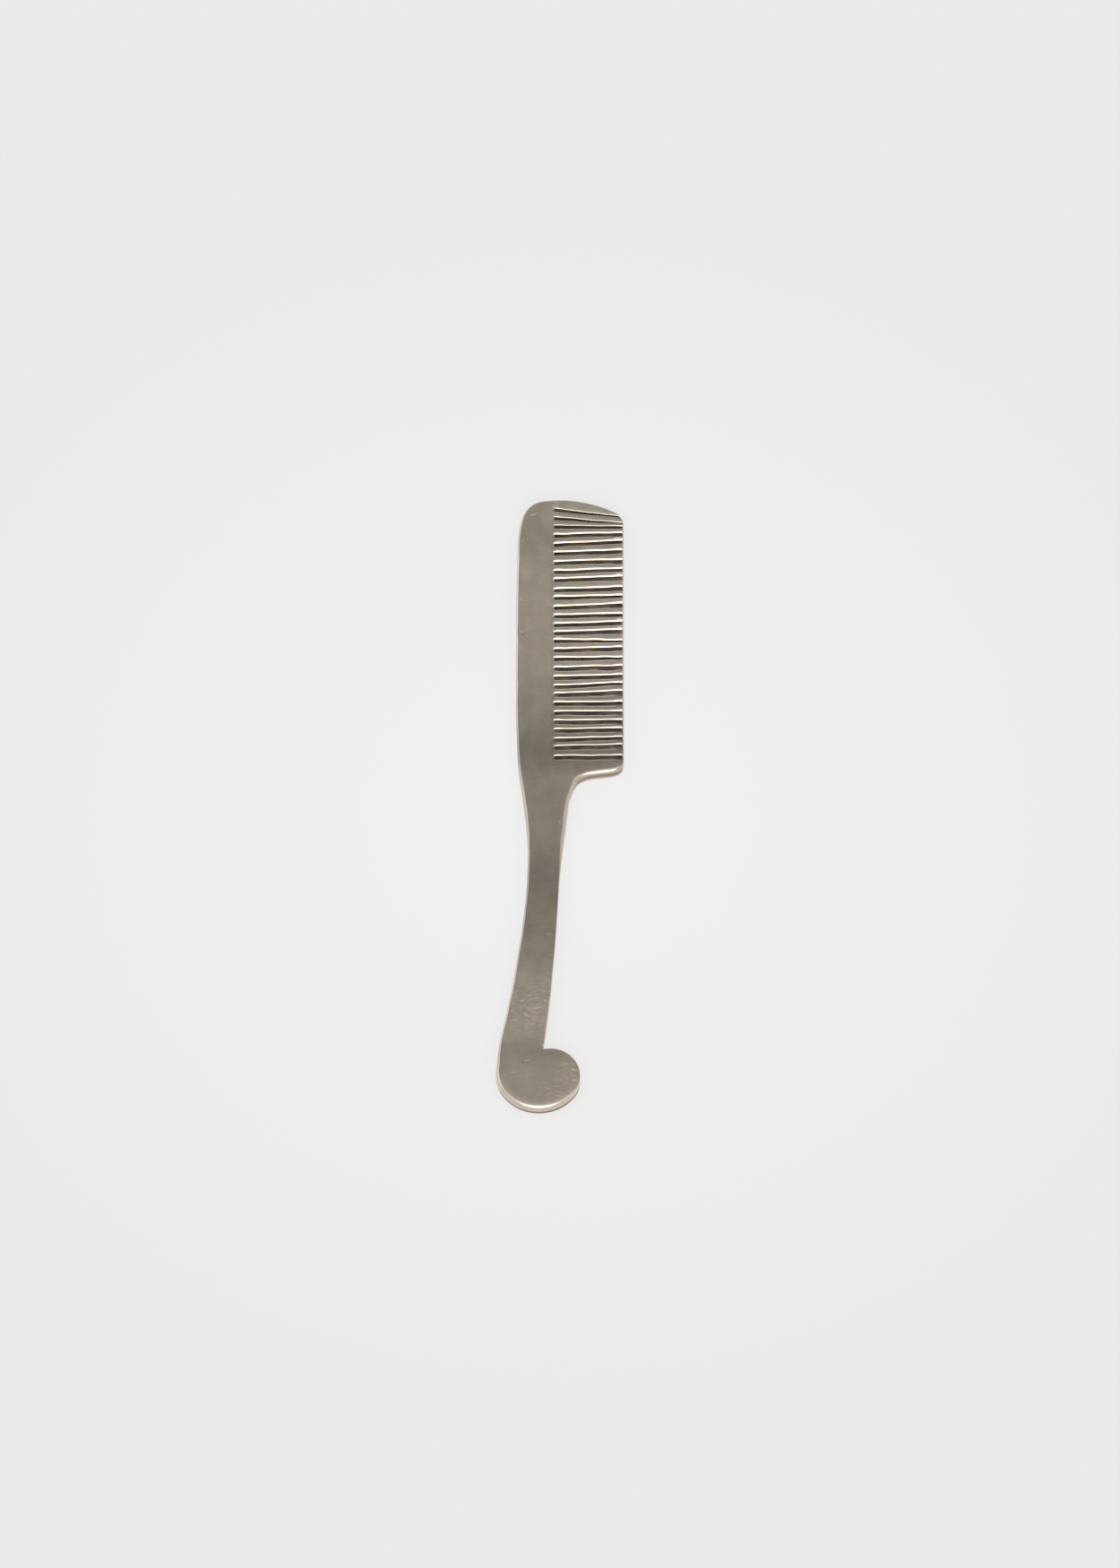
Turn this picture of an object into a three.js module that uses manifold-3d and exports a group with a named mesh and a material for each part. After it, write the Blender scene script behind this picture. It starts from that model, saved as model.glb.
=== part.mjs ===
// A hand-sawn metal dressing comb: one flat plate with a straight row of teeth, a waisted handle and a
// scroll at the handle's end. It lies flat, teeth towards +X, head towards +Y, scroll towards -Y, +Z up.
//
// The plate is drawn in its own drawing frame, in millimetres: X = 0 is the line where the teeth begin,
// Y = 0 is the inside corner between the handle and the scroll, and Z = 0 is the underside. The finished
// group is then moved so that its origin is the middle of the underside.

import * as THREE from "three";
import { mergeVertices } from "three/addons/utils/BufferGeometryUtils.js";
import Module from "manifold-3d";

const wasm = await Module();
wasm.setup();

// ---- Driving dimensions ----
const THICKNESS = 3.5;
const TIP_X = 16.5; // the straight line of the tooth tips
const ROOT_X = 0; // the straight line of the tooth roots
const NECK_Y = 70; // where the head ends and the handle begins
const CORNER_Y = 0; // where the handle ends and the scroll begins

const SLOT_WIDTH = 0.92; // at the root
const SLOT_PITCH = 2.48;
const FIRST_SLOT_Y = 150.7; // the slot next to the head's rounded end
const SAW_OVERRUN = 1.5; // how far a cut runs past the tips

const CURVE_STEPS = 24;
const SLOT_END_STEPS = 8;

// The slots were sawn by eye, so no two are alike. Each entry is one slot, from the head's end to the heel:
// how far its root stands off the even spacing, how far it climbs from root to tip, and its width at the tip.
const HAND_SAWN = [
  [0.0, -2.1, 0.35], [0.05, -1.4, 0.3], [0.2, -0.15, 0.7], [0.1, 0.45, 0.95], [0.0, 0.95, 0.9],
  [0.05, 0.6, 1.05], [-0.15, 0.55, 1.1], [-0.15, 0.65, 0.85], [0.0, 0.7, 1.15], [-0.35, 0.55, 1.15],
  [-0.05, 0.55, 0.7], [-0.3, 0.75, 1.2], [-0.2, 0.4, 0.9], [-0.15, 0.65, 1.0], [0.05, 0.55, 1.15],
  [0.35, 0.05, 0.45], [0.2, 0.5, 1.0], [0.25, 0.3, 0.55], [0.0, 0.45, 1.15], [-0.05, 0.55, 0.95],
  [-0.05, 0.9, 0.55], [0.15, 0.65, 1.15], [0.15, 0.2, 0.9], [0.0, 0.2, 0.85], [0.05, 0.05, 1.1],
  [0.05, 0.35, 0.9], [-0.05, 0.55, 0.65], [0.25, 0.4, 1.1], [0.0, 0.15, 1.0],
];

// ---- The outline's curves ----
const at = (x, y) => new THREE.Vector2(x, y);

// The back of the comb, from the head's shoulder down past the waist to the widest part of the scroll.
const backEdge = new THREE.SplineCurve([
  at(-9.15, 141), at(-9.5, 128), at(-9.58, 114), at(-9.63, 101), at(-9.52, 90), at(-9.05, 79),
  at(-7.95, 70), at(-7.05, 61.5), at(-6.7, 53.5), at(-7.15, 43), at(-8.3, 32), at(-9.85, 21.5),
  at(-11.75, 10.5), at(-13.5, 1.5), at(-14.4, -6.3),
]);

// The front of the handle, from the neck down to the corner over the scroll.
const frontEdge = new THREE.SplineCurve([
  at(3.3, 70), at(2.55, 63), at(1.65, 55.5), at(0.9, 47), at(0.4, 37.5), at(-0.35, 26),
  at(-1.35, 14), at(-3.0, 0),
]);

// The head's rounded end: a quick corner at the back, a wide arc over the top, a small corner at the tips.
const backCorner = new THREE.CubicBezierCurve(
  at(-3, 153.11), at(-7.7, 152.3), at(-8.85, 148.2), at(-9.15, 141),
);
const CROWN = { x: 1, y: 125.4, radius: 28, from: 98.2, to: 61.6 };
const tipCorner = new THREE.QuadraticBezierCurve(at(14.32, 150.03), at(TIP_X, 148.8), at(TIP_X, 145.8));

// The heel closes the row of teeth: a small corner at the tips, then a hollow that runs into the neck.
const heelEdge = new THREE.SplineCurve([
  at(TIP_X, 80.6), at(16.2, 78.9), at(15.2, 77.8), at(13.4, 77.2), at(10.4, 76.8), at(7.6, 76.3),
  at(5.6, 75.2), at(4.35, 73.3), at(3.3, 70),
]);

// The scroll tightens from quarter to quarter: under the handle, out to the front, then back over the top.
const SCROLL_QUARTERS = [
  { x: -4.2, y: -6.3, across: 10.2, high: 10.4, from: 180, to: 270 },
  { x: -4.2, y: -7.6, across: 10.1, high: 9.1, from: 270, to: 360 },
  { x: -1.1, y: -7.6, across: 7.0, high: 7.75, from: 0, to: 90 },
];
// The saw ran a little past the inside corner and left a nick in the handle's edge.
const NICK = { x: -2.85, y: 0.8, radius: 0.38 };

// Points of an ellipse's arc, both ends included; angles in degrees.
function arcPoints({ x, y, across, high, from, to }, steps) {
  const turn = THREE.MathUtils.degToRad(to - from);
  const start = THREE.MathUtils.degToRad(from);
  return Array.from({ length: steps + 1 }, (_, i) => {
    const angle = start + (turn * i) / steps;
    return at(x + across * Math.cos(angle), y + high * Math.sin(angle));
  });
}

// The part of a curve that falls in Y between two heights, ending exactly on each.
function stretch(curve, high, low) {
  const fine = curve.getPoints(CURVE_STEPS * 20);
  const crossing = (height) => {
    const i = fine.findIndex((p) => p.y <= height);
    if (i <= 0) return at(fine[Math.max(i, 0)].x, height);
    const share = (fine[i - 1].y - height) / (fine[i - 1].y - fine[i].y);
    return at(THREE.MathUtils.lerp(fine[i - 1].x, fine[i].x, share), height);
  };
  const count = Math.max(2, Math.round((high - low) / 2.2));
  return Array.from({ length: count + 1 }, (_, i) => crossing(high + ((low - high) * i) / count));
}

const crownPoints = arcPoints({ ...CROWN, across: CROWN.radius, high: CROWN.radius }, CURVE_STEPS);
const crownTop = CROWN.y + Math.sqrt(CROWN.radius ** 2 - (ROOT_X - CROWN.x) ** 2);

// ---- Turning outlines into solids ----
const joined = (...runs) =>
  runs.flat().filter((p, i, all) => i === 0 || p.distanceTo(all[i - 1]) > 1e-4);

function plate(points, bottom = 0, height = THICKNESS) {
  const geometry = new THREE.ExtrudeGeometry(new THREE.Shape(points), { depth: height, bevelEnabled: false });
  return geometry.translate(0, 0, bottom);
}

function solid(geometry) {
  geometry.deleteAttribute("normal");
  geometry.deleteAttribute("uv");
  const merged = mergeVertices(geometry, 1e-4);
  return new wasm.Manifold(
    new wasm.Mesh({
      numProp: 3,
      vertProperties: merged.attributes.position.array,
      triVerts: new Uint32Array(merged.index.array),
    }),
  );
}

function geometryOf(manifold) {
  const mesh = manifold.getMesh();
  const geometry = new THREE.BufferGeometry();
  geometry.setAttribute("position", new THREE.BufferAttribute(mesh.vertProperties, mesh.numProp));
  geometry.setIndex(new THREE.BufferAttribute(mesh.triVerts, 1));
  geometry.computeVertexNormals();
  return geometry;
}

// ---- The saw cuts ----
// One cut: a half-round end bitten into the spine, then two almost parallel sides out past the tips.
// It stands proud of both faces, so that it cuts right through.
function sawCut([wander, climb, tipWidth], index) {
  const rootY = FIRST_SLOT_Y - index * SLOT_PITCH + wander;
  const endX = TIP_X + SAW_OVERRUN;
  const reach = endX / TIP_X;
  const endY = rootY + climb * reach;
  const half = SLOT_WIDTH / 2;
  const endHalf = half + ((tipWidth - SLOT_WIDTH) / 2) * reach;
  const halfRound = { x: ROOT_X, y: rootY, across: half, high: half, from: 90, to: 270 };
  const roundEnd = arcPoints(halfRound, SLOT_END_STEPS);
  const outline = joined(roundEnd, [at(endX, endY - endHalf), at(endX, endY + endHalf)]);
  return solid(plate(outline, -1, THICKNESS + 2));
}
const sawCuts = HAND_SAWN.map(sawCut);
const sawn = (blank) => sawCuts.reduce((left, cut) => left.subtract(cut), solid(blank));

// ---- The sub-parts ----
const steel = new THREE.MeshStandardMaterial({ color: 0xb7afa2, roughness: 0.32, metalness: 1.0 });

function part(name, geometry) {
  const mesh = new THREE.Mesh(geometry, steel);
  mesh.name = name;
  return mesh;
}

// The spine is the strip behind the tooth roots, with the saw cuts' half-round ends along its front.
function spine() {
  const overTheTop = crownPoints.filter((p) => p.x < ROOT_X - 0.3).reverse();
  const outline = joined(
    [at(ROOT_X, NECK_Y), at(ROOT_X, crownTop)],
    overTheTop,
    backCorner.getPoints(CURVE_STEPS),
    stretch(backEdge, 141, NECK_Y),
  );
  return part("spine", geometryOf(sawn(plate(outline))));
}

// In front of the roots, the saw cuts part the blank into the end guard, the teeth and the heel.
function teethWithGuardAndHeel() {
  const outline = joined(
    [at(ROOT_X, crownTop), at(ROOT_X, NECK_Y)],
    heelEdge.getPoints(CURVE_STEPS * 2).reverse(),
    tipCorner.getPoints(CURVE_STEPS / 2).reverse(),
    crownPoints.filter((p) => p.x > ROOT_X + 0.3).reverse(),
  );
  const pieces = sawn(plate(outline)).decompose();
  pieces.sort((a, b) => b.boundingBox().max[1] - a.boundingBox().max[1]);
  const teeth = pieces.slice(1, -1).map((_, i) => `tooth_${String(i + 1).padStart(2, "0")}`);
  const names = ["end_guard", ...teeth, "heel"];
  return pieces.map((piece, i) => part(names[i], geometryOf(piece)));
}

// The handle narrows to a waist and widens again towards the scroll.
function handle() {
  const outline = joined(
    stretch(backEdge, NECK_Y, CORNER_Y),
    stretch(frontEdge, NECK_Y, CORNER_Y).reverse(),
  );
  const nick = new THREE.CylinderGeometry(NICK.radius, NICK.radius, THICKNESS + 2, 12);
  nick.rotateX(Math.PI / 2).translate(NICK.x, NICK.y, THICKNESS / 2);
  return part("handle", geometryOf(solid(plate(outline)).subtract(solid(nick))));
}

// The scroll hangs under the corner and curls out to the front.
function scroll() {
  const outline = joined(
    stretch(backEdge, CORNER_Y, SCROLL_QUARTERS[0].y),
    ...SCROLL_QUARTERS.map((quarter) => arcPoints(quarter, CURVE_STEPS)),
    [at(-3.0, CORNER_Y)],
  );
  return part("scroll", plate(outline));
}

const comb = new THREE.Group();
comb.add(spine(), ...teethWithGuardAndHeel(), handle(), scroll());

// The origin goes to the middle of the underside.
const middle = new THREE.Box3().setFromObject(comb).getCenter(new THREE.Vector3());
comb.position.set(-middle.x, -middle.y, 0);

export default comb;
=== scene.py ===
"""The looks of a hand-sawn, hand-polished metal comb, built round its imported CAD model.

The CAD nodes are square-edged plates that meet on flat seams. This script reads their outlines, joins
them into the one outline of the comb, and rebuilds every node as a closed mesh of its own with rounded
edges, wandering saw cuts, a slightly uneven polished face and small marks of use. Neighbouring pieces
share their points along each seam, and every height and normal comes from the whole outline, so no seam
shows.

Lengths are in millimetres until a mesh is made, and in metres from there on.
"""
import math
import random
from collections import namedtuple

import bpy
import numpy as np
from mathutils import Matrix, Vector, noise
from mathutils.geometry import delaunay_2d_cdt
from mathutils.kdtree import KDTree


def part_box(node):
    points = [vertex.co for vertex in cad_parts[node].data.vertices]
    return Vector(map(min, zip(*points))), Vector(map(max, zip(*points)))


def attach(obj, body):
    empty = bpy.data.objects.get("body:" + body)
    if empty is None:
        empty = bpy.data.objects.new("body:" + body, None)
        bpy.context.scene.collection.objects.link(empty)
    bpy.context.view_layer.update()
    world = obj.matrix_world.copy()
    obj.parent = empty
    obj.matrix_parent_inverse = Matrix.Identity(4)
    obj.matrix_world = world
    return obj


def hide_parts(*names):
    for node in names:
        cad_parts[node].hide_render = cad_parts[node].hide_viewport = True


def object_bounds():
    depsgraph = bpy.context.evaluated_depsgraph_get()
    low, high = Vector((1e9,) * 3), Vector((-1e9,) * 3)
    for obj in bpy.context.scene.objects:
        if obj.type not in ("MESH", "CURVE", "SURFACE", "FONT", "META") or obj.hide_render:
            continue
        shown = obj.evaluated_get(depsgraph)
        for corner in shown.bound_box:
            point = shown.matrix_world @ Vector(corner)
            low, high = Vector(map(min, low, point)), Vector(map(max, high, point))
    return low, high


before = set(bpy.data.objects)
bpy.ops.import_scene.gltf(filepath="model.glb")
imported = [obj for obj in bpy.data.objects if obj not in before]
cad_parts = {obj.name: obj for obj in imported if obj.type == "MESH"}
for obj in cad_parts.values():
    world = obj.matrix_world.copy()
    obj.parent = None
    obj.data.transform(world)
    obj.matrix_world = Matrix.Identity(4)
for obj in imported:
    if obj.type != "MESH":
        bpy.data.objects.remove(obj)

CAD_LOW, CAD_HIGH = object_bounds()
MM = 0.001

# ---- Driving sizes, in millimetres ----
THICKNESS = CAD_HIGH.z / MM
# How far each edge is rounded over. An edge that faces -Y was filed more than one that faces +Y, which
# has _BACK in its name. _LEFT and _RIGHT are for edges that face -X and +X.
OUTER_ROUND, OUTER_ROUND_BACK, OUTER_ROUND_RIGHT = 0.52, 0.30, 0.14
NECK_ROUND, NECK_ROUND_LEFT, NECK_ROUND_RIGHT = 1.15, 0.72, 1.05
SCROLL_ROUND = 0.85
CUT_ROUND, CUT_ROUND_BACK, CUT_ROUND_ROOT, CUT_ROUND_END = 0.50, 0.20, 0.68, 0.14
CUT_ROUND_BACK_LOW = 0.40  # the same as CUT_ROUND_BACK, at the heel's end of the row
TIP_ROUND, TIP_ROUND_BACK = 0.68, 0.18  # tooth tips wear most, but a tooth is narrow
SAW_NICK_AT, SAW_NICK_ROUND, SAW_NICK_REACH = (-3.9, -67.5), 0.13, 0.7
FIRST_CUTS_SHARE = 0.35  # the first cuts were hardly eased at all
UNDER_SHARE, UNDER_SHARE_SCROLL = 0.7, 1.1  # the underside is rounded less, but more below the scroll
UNDER_ROUND_MOST = 1.0
ROUND_UNEVEN = 0.14  # the rounding of an edge varies by this share of itself
# Polishing has also made the face fall off a little towards its edges: (how wide, how far).
SOFT_OUTER, SOFT_BACK, SOFT_SCROLL = (2.0, 0.035), (2.0, 0.004), (2.0, 0.085)
SOFT_CUT, SOFT_CUT_BACK = (0.75, 0.018), (0.5, 0.06)
SLOT_END_SHAPE = 0.5  # 1 leaves the end of a cut half round, and a smaller number makes it squarer
TIP_CORNER = 0.42  # the corner of a tooth tip, seen from above
# Where one kind of edge gives way to the next: how far along Y, or how far from the roots or the tips.
SCROLL_FROM, SCROLL_FULL = -66, -75
UNDER_SCROLL_FROM, UNDER_SCROLL_FULL = -62, -74
LOW_CUTS_FROM, LOW_CUTS_FULL = 45, 10
CUT_BACK_LOW_TO, CUT_BACK_FROM = 30, 60
ROOT_FULL, ROOT_NONE = 0.4, 2.2
TIP_FULL, TIP_NONE = 0.8, 3.2
# The neck's rounding spreads this far up and down from the neck, and on the right from a little below it.
NECK_SPREAD, UNDER_NECK = 13, 6
LEFT_EDGE = 3  # the comb's left edge lies further than this behind the roots
HEEL_END = 6  # and the heel's own end lies nearer than this to the tips
ROUND_BLEND = 5  # the rounding is blended over this many points of the outline
LOW_LEFT = (-0.6, -0.8)  # the way that the scroll's fullest edge faces

STEP = 0.3  # spacing of points along the outline
LONG_EDGE = 4.0  # a CAD edge longer than this is the straight side of a saw cut
SHARP_TURN = math.radians(35)
ARC_STEP = math.radians(14)
CORNER_SHARE = 0.45  # a rounded corner takes up at most this share of the edges beside it
ROUND_STEPS = 5  # rings across a rounded edge
WALL_ROWS = 2
FILL_STEP = 0.9  # spacing of points on the flat faces
FILL_ROWS = 0.87  # and that of their staggered rows, as a share of it
FILL_OFF = 0.4  # and how far they stay off seams and rounded edges
RING_OFF_SEAM, MARK_OFF_SEAM = 0.05, 0.06
MARK_OFF_ROUND = 1.05  # a mark's points stay this share of the rounding away from the outline
RING_TRUE = 0.96  # a ring's point stays if it is at least this share of its offset away from the outline
CLOSE = 0.003  # points this near to a line lie on it
SAME_POINT = 0.005  # and points this near to each other are one
HAIR = 0.01  # less than the gap between any two features
# The row of cuts reaches this far behind the roots and below the heel's top edge, and stops this far
# under the top of the spine. A cut's ends lie within these distances of the roots and of the tips.
ROW_BEHIND, ROW_BELOW, ROW_UNDER_TOP = 0.7, 0.8, 1.6
CUT_END_BY_ROOT, CUT_END_BY_TIP = 0.3, 1.0

CUT_WANDER = 0.07  # how far a saw cut wanders off its line
CUT_SETTLE = -0.13  # and how far all of them lie to one side of it
WALL_WANDER = 0.025
OUTLINE_WANDER = 0.02
WANDER_FROM, WANDER_FULL = 0.2, 2.5  # a cut starts true at its root and wanders from here on
CUT_WAVE, WALL_WAVE, OUTLINE_WAVE, ROUND_WAVE = 5.0, 2.4, 7.0, 5.0  # how long each of the waves is
SCROLL_FILED = 0.25  # how far the scroll's low edge was filed back
FACE_SWELL = 0.035  # the polished face rises and falls by this much between one spot and the next
SWELL_BROAD, SWELL_NARROW = (9.0, 11.0), (4.0, 3.6)  # how far apart those spots are, along X and along Y
# How far the face lies below its full height along the comb: (Y, drop).
FACE_BOW = [(-86, 0.19), (-47, 0.0), (18, 0.20), (75, 0.0), (86, 0.03)]
RANDOM_SCRATCHES = 90

root_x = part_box("heel")[0].x / MM
neck_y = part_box("handle")[1].y / MM
corner_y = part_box("handle")[0].y / MM
tip_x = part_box("heel")[1].x / MM
heel_top_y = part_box("heel")[1].y / MM
spine_top_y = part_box("spine")[1].y / MM
eased_below_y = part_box("tooth_03")[1].y / MM


# ---- Small helpers ----
def unit(v):
    return v / np.linalg.norm(v)


def left_of(v):
    return np.array([-v[1], v[0]])


def between(a, b, share):
    return a + (b - a) * share


def smooth_step(low, high, value):
    """Goes smoothly from 0 at low to 1 at high, whichever of the two is the larger."""
    t = np.clip((value - low) / (high - low), 0, 1)
    return t * t * (3 - 2 * t)


def wave(*place):
    """Smooth noise between about -1 and 1, with features about one unit across.

    A fixed number among its arguments keeps one wave apart from another.
    """
    x, y, z = (list(place) + [0.0, 0.0])[:3]
    return 2.0 * noise.noise(Vector((x, y, z)))


# ---- The comb's outline, from the CAD nodes ----
def node_outline(node):
    """The node's outline, anticlockwise from above.

    It is made of the edges of the underside that only one of its faces has.
    """
    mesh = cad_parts[node].data
    edges = set()
    for polygon in mesh.polygons:
        corners = [mesh.vertices[i].co for i in polygon.vertices]
        if max(c.z for c in corners) < HAIR * MM:
            flat = [(c.x / MM, c.y / MM) for c in corners]
            edges.update(zip(flat, flat[1:] + flat[:1]))
    onward = {b: a for a, b in edges if (b, a) not in edges}
    loop = [min(onward)]
    while onward[loop[-1]] != loop[0]:
        loop.append(onward[loop[-1]])
    return loop


cad_points = []


def point_index(point):
    """The index of this CAD point, the same for all nodes that share it."""
    if cad_points:
        gaps = np.hypot(*(np.array(cad_points) - point).T)
        nearest = int(gaps.argmin())
        if gaps[nearest] < SAME_POINT:
            return nearest
    cad_points.append(point)
    return len(cad_points) - 1


def is_seam(a, b):
    """True for an edge on the plane of the tooth roots, the neck or the corner over the scroll."""
    (ax, ay), (bx, by) = cad_points[a], cad_points[b]
    return (
        max(abs(ax - root_x), abs(bx - root_x)) < CLOSE
        or max(abs(ay - neck_y), abs(by - neck_y)) < CLOSE
        or max(abs(ay - corner_y), abs(by - corner_y)) < CLOSE
    )


def split_at_junction(loop):
    """Adds the point where spine, heel and handle meet to an edge that passes through it."""
    split = []
    for a, b in zip(loop, loop[1:] + loop[:1]):
        if a == b:
            continue
        split.append(a)
        (ax, ay), (bx, by) = cad_points[a], cad_points[b]
        on_neck = max(abs(ay - neck_y), abs(by - neck_y)) < CLOSE
        if on_neck and min(ax, bx) < root_x - HAIR and max(ax, bx) > root_x + HAIR:
            split.append(junction)
    return split


node_loops = {name: [point_index(p) for p in node_outline(name)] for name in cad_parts}
junction = point_index((root_x, neck_y))
node_loops = {name: split_at_junction(loop) for name, loop in node_loops.items()}

onward = {}
for loop in node_loops.values():
    for a, b in zip(loop, loop[1:] + loop[:1]):
        if not is_seam(a, b):
            onward[a] = b

# The walk round the comb starts on the heel's outer edge, so that it meets the two sides of each cut one
# after the other.
on_heel = (root_x + 5, neck_y + 6)
start = min(onward, key=lambda i: abs(cad_points[i][0] - on_heel[0]) + abs(cad_points[i][1] - on_heel[1]))
ring = [start]
while onward[ring[-1]] != start:
    ring.append(onward[ring[-1]])


# ---- The outline drawn fine: smooth curves, rounded corners, wandering cuts ----
def corner_arc(corner, come, go, radius):
    """Points of the arc that rounds a corner, both of its ends included."""
    turn = math.acos(float(np.clip(come @ go, -1, 1)))
    trim = radius * math.tan(turn / 2)
    centre = corner - come * trim + left_of(come) * radius
    first = -left_of(come)
    steps = max(3, math.ceil(turn / ARC_STEP))
    angles = [turn * i / steps for i in range(steps + 1)]
    return [centre + radius * (first * math.cos(a) + come * math.sin(a)) for a in angles]


def hermite(a, b, go_a, go_b, count):
    """Points strictly between a and b, on the curve that leaves a along go_a and meets b along go_b."""
    reach = np.linalg.norm(b - a)
    points = []
    for i in range(1, count):
        t = i / count
        points.append(
            (2 * t**3 - 3 * t**2 + 1) * a
            + (t**3 - 2 * t**2 + t) * reach * go_a
            + (3 * t**2 - 2 * t**3) * b
            + (t**3 - t**2) * reach * go_b
        )
    return points


corners = np.array([cad_points[i] for i in ring])
steps_on = np.roll(corners, -1, axis=0) - corners
lengths = np.hypot(*steps_on.T)
headings = steps_on / lengths[:, None]


def smoothed_corner(i):
    """The fine points that stand for a CAD point, and the curve's heading there, or None if it breaks."""
    come, go = headings[i - 1], headings[i]
    turn = math.acos(float(np.clip(come @ go, -1, 1)))
    if turn > SHARP_TURN:
        convex = come[0] * go[1] - come[1] * go[0] > 0
        room = CORNER_SHARE * min(lengths[i - 1], lengths[i]) / math.tan(turn / 2)
        radius = min(TIP_CORNER, room)
        return (corner_arc(corners[i], come, go, radius) if convex else [corners[i]]), None
    if lengths[i] > LONG_EDGE:
        return [corners[i]], go
    if lengths[i - 1] > LONG_EDGE:
        return [corners[i]], come
    return [corners[i]], unit(lengths[i] * come + lengths[i - 1] * go)


at_corner, heading_at = zip(*(smoothed_corner(i) for i in range(len(ring))))

fine = []
first_fine = {}  # CAD point -> its first fine point
cut_of = []  # which cut's side each fine point is on, or -1
cuts_met = 0
for i in range(len(ring)):
    after = (i + 1) % len(ring)
    first_fine[ring[i]] = len(fine)
    fine.extend(at_corner[i])
    cut_of.extend([-1] * len(at_corner[i]))
    a, b = at_corner[i][-1], at_corner[after][0]
    pieces_of_edge = max(1, round(np.linalg.norm(b - a) / STEP))
    go_a = headings[i] if heading_at[i] is None else heading_at[i]
    go_b = headings[i] if heading_at[after] is None else heading_at[after]
    on_the_way = hermite(a, b, go_a, go_b, pieces_of_edge)
    fine.extend(on_the_way)
    if lengths[i] > LONG_EDGE:
        cut_of.extend([cuts_met // 2] * len(on_the_way))
        cuts_met += 1
    else:
        cut_of.extend([-1] * len(on_the_way))
fine = np.array(fine)
cut_of = np.array(cut_of)
# The points at the two ends of a cut belong to it as well.
beside_cut = (fine[:, 0] > root_x - ROW_BEHIND) & (fine[:, 1] > heel_top_y - ROW_BELOW)
by_an_end = (fine[:, 0] < root_x + CUT_END_BY_ROOT) | (fine[:, 0] > tip_x - CUT_END_BY_TIP)
beside_cut &= (cut_of >= 0) | by_an_end
inner_edge = beside_cut & (fine[:, 1] < spine_top_y - ROW_UNDER_TOP)


def outward_normals(points):
    """The direction out of the comb at each point of its outline."""
    along = np.roll(points, -1, axis=0) - np.roll(points, 1, axis=0)
    along /= np.hypot(*along.T)[:, None]
    return np.stack([along[:, 1], -along[:, 0]], axis=1)


def square_off(run):
    """Turns a cut's half-round end into the squarer one that a saw blade leaves."""
    middle = (fine[run[0], 1] + fine[run[-1], 1]) / 2
    half = abs(fine[run[0], 1] - fine[run[-1], 1]) / 2
    from_middle = (fine[run] - (root_x, middle)) / half
    fine[run] = (root_x, middle) + half * np.sign(from_middle) * np.abs(from_middle) ** SLOT_END_SHAPE


in_slot_end = inner_edge & (fine[:, 0] < root_x + HAIR)
run_starts = np.where(in_slot_end & ~np.roll(in_slot_end, 1))[0]
run_stops = np.where(in_slot_end & ~np.roll(in_slot_end, -1))[0]
for first, last in zip(run_starts, run_stops):
    square_off(np.arange(first, last + 1))

along_outline = np.concatenate([[0], np.cumsum(np.hypot(*np.diff(fine, axis=0).T))])
normals = outward_normals(fine)
for i, (x, y) in enumerate(fine):
    s = along_outline[i]
    if cut_of[i] >= 0:
        fade = float(smooth_step(root_x + WANDER_FROM, root_x + WANDER_FULL, x))
        fine[i, 1] += fade * CUT_WANDER * wave(x / CUT_WAVE, cut_of[i] * 7.3)
        fine[i] += fade * WALL_WANDER * wave(s / WALL_WAVE, 4.1) * normals[i]
    elif not beside_cut[i]:
        fine[i] += OUTLINE_WANDER * wave(s / OUTLINE_WAVE, 9.7) * normals[i]
fine[inner_edge, 1] += CUT_SETTLE
on_scroll = smooth_step(SCROLL_FROM, SCROLL_FULL, fine[:, 1])
fine[:, 1] += SCROLL_FILED * on_scroll * smooth_step(0.0, 0.8, -normals[:, 1])
normals = outward_normals(fine)

# 1 on the scroll's edge where it faces down and left, and 0 elsewhere.
under_scroll = smooth_step(SCROLL_FROM, SCROLL_FULL, fine[:, 1])
under_scroll *= smooth_step(-0.2, 0.5, normals @ LOW_LEFT)


def cut_rounding(i):
    """How far the edge of a saw cut is rounded over at one fine point."""
    x, y = fine[i]
    front = (1 - normals[i, 1]) / 2  # 1 where the edge faces -Y
    from_low = float(smooth_step(CUT_BACK_LOW_TO, CUT_BACK_FROM, y))
    back_round = between(CUT_ROUND_BACK_LOW, CUT_ROUND_BACK, from_low)
    by_root = float(smooth_step(root_x + ROOT_NONE, root_x + ROOT_FULL, x))
    radius = between(back_round, between(CUT_ROUND, CUT_ROUND_ROOT, by_root), front)
    slot_end = float(smooth_step(0.35, 0.85, normals[i, 0])) * (x < root_x + CUT_END_BY_ROOT)
    radius = between(radius, CUT_ROUND_END, slot_end)
    worn = float(smooth_step(tip_x - TIP_NONE, tip_x - TIP_FULL, x))
    radius = between(radius, between(TIP_ROUND_BACK, TIP_ROUND, front), worn)
    return radius * (FIRST_CUTS_SHARE if y > eased_below_y else 1.0)


def outer_rounding(i):
    """How far the comb's outer edge is rounded over at one fine point."""
    x, y = fine[i]
    front = min(1.0, 1 - normals[i, 1])
    right = smooth_step(0.75, 1.0, normals[i, 0])
    radius = between(OUTER_ROUND_BACK, OUTER_ROUND, front)
    radius = between(radius, SCROLL_ROUND, under_scroll[i])
    radius = between(radius, OUTER_ROUND_RIGHT, right)
    neck = math.exp(-(((y - neck_y) / NECK_SPREAD) ** 2)) * (1 - right)
    neck_round = NECK_ROUND if x > root_x - LEFT_EDGE else NECK_ROUND_LEFT
    radius = between(radius, neck_round, neck * front)
    under_neck = math.exp(-(((y - neck_y + UNDER_NECK) / NECK_SPREAD) ** 2)) * (x < tip_x - HEEL_END)
    return between(radius, NECK_ROUND_RIGHT, under_neck * right)


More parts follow.
